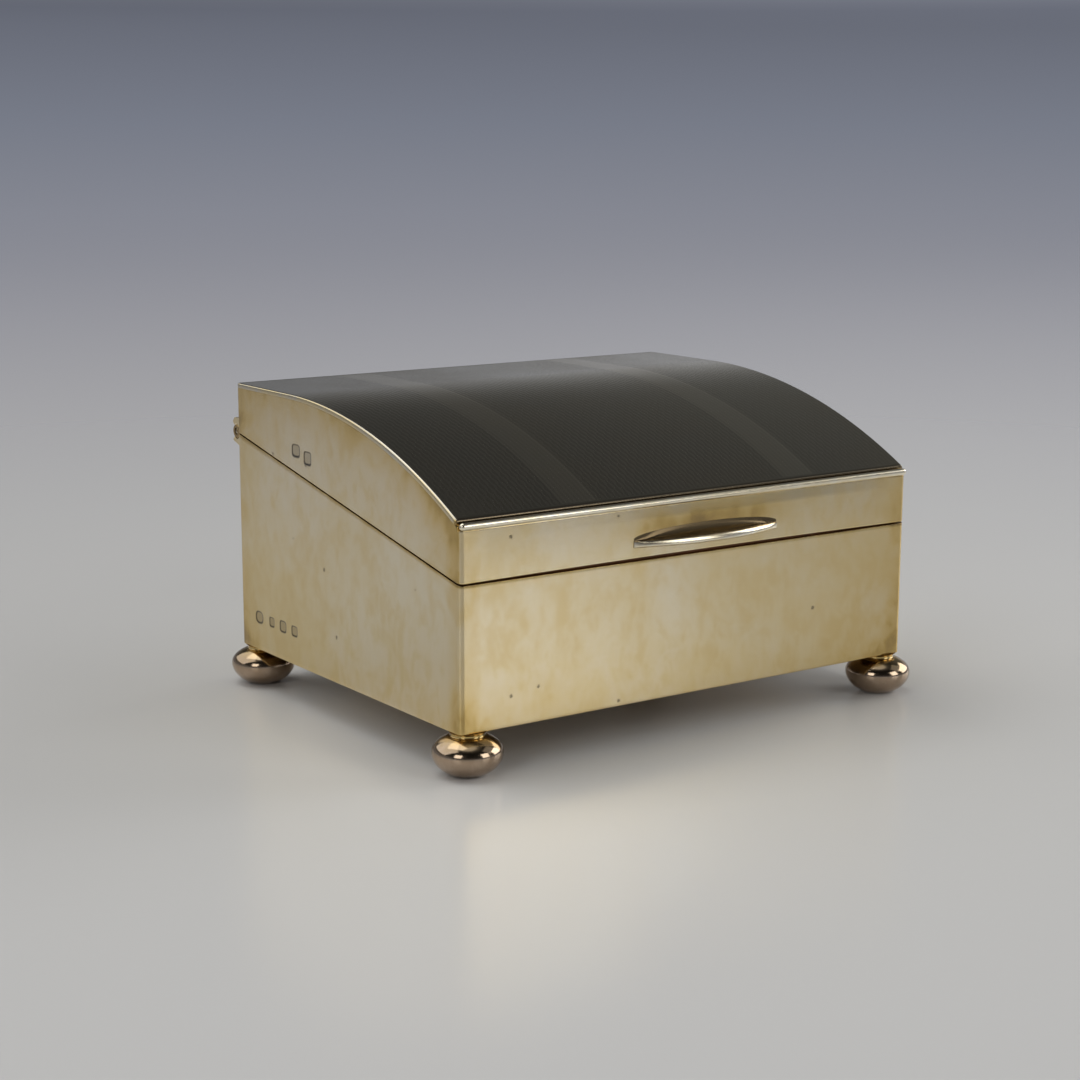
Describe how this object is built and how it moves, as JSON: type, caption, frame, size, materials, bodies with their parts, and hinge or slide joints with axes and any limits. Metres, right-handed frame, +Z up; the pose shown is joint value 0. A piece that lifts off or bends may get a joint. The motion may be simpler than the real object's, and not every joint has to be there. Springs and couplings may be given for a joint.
{
  "type": "cigarette box",
  "caption": "Silver table box with a sloping rim, a hinged lid with a curved engine-turned top, a crescent thumbpiece, bun feet and a divided wooden lining.",
  "frame": {"origin": "on the table, under the middle of the whole box", "axes": "+Z up, -Y towards the front with the thumbpiece, +X along the width, to the right of someone facing the front"},
  "size_m": [0.1208, 0.0966, 0.0664],
  "materials": {
    "tarnished_silver": "polished silver sheet under a warm, patchy tarnish",
    "engine_turned_silver": "fine engine-turned lines, toned grey, with two paler bands",
    "bright_silver": "silver rubbed bright by handling",
    "foot_silver": "mirror-bright silver with a rosy tarnish",
    "hinge_wire": "drawn wire",
    "cedar": "planed, unvarnished cedar"
  },
  "bodies": {
    "body": {"body_front_wall": "tarnished_silver", "body_right_wall": "tarnished_silver", "body_back_wall": "tarnished_silver", "body_left_wall": "tarnished_silver", "base_plate": "tarnished_silver", "foot_front_left": "foot_silver", "foot_front_right": "foot_silver", "foot_back_left": "foot_silver", "foot_back_right": "foot_silver", "lining_bottom": "cedar", "lining_front": "cedar", "lining_back": "cedar", "lining_left": "cedar", "lining_right": "cedar", "divider": "cedar", "body_hinge_bearer": "tarnished_silver", "body_knuckle_1": "tarnished_silver", "body_knuckle_2": "tarnished_silver", "body_knuckle_3": "tarnished_silver", "body_knuckle_4": "tarnished_silver", "hinge_pin": "hinge_wire"},
    "lid": {"lid_front_wall": "tarnished_silver", "lid_right_wall": "tarnished_silver", "lid_back_wall": "tarnished_silver", "lid_left_wall": "tarnished_silver", "lid_top_plate": "engine_turned_silver", "lid_bead": "bright_silver", "thumbpiece": "bright_silver", "lid_hinge_bearer": "tarnished_silver", "lid_knuckle_1": "tarnished_silver", "lid_knuckle_2": "tarnished_silver", "lid_knuckle_3": "tarnished_silver"}
  },
  "joints": [
    {"name": "lid_hinge", "type": "hinge", "parent": "body", "child": "lid", "pos_m": [0, 0.04605, 0.05555], "axis": [-1, 0, 0], "range_deg": [0, 105]}
  ]
}
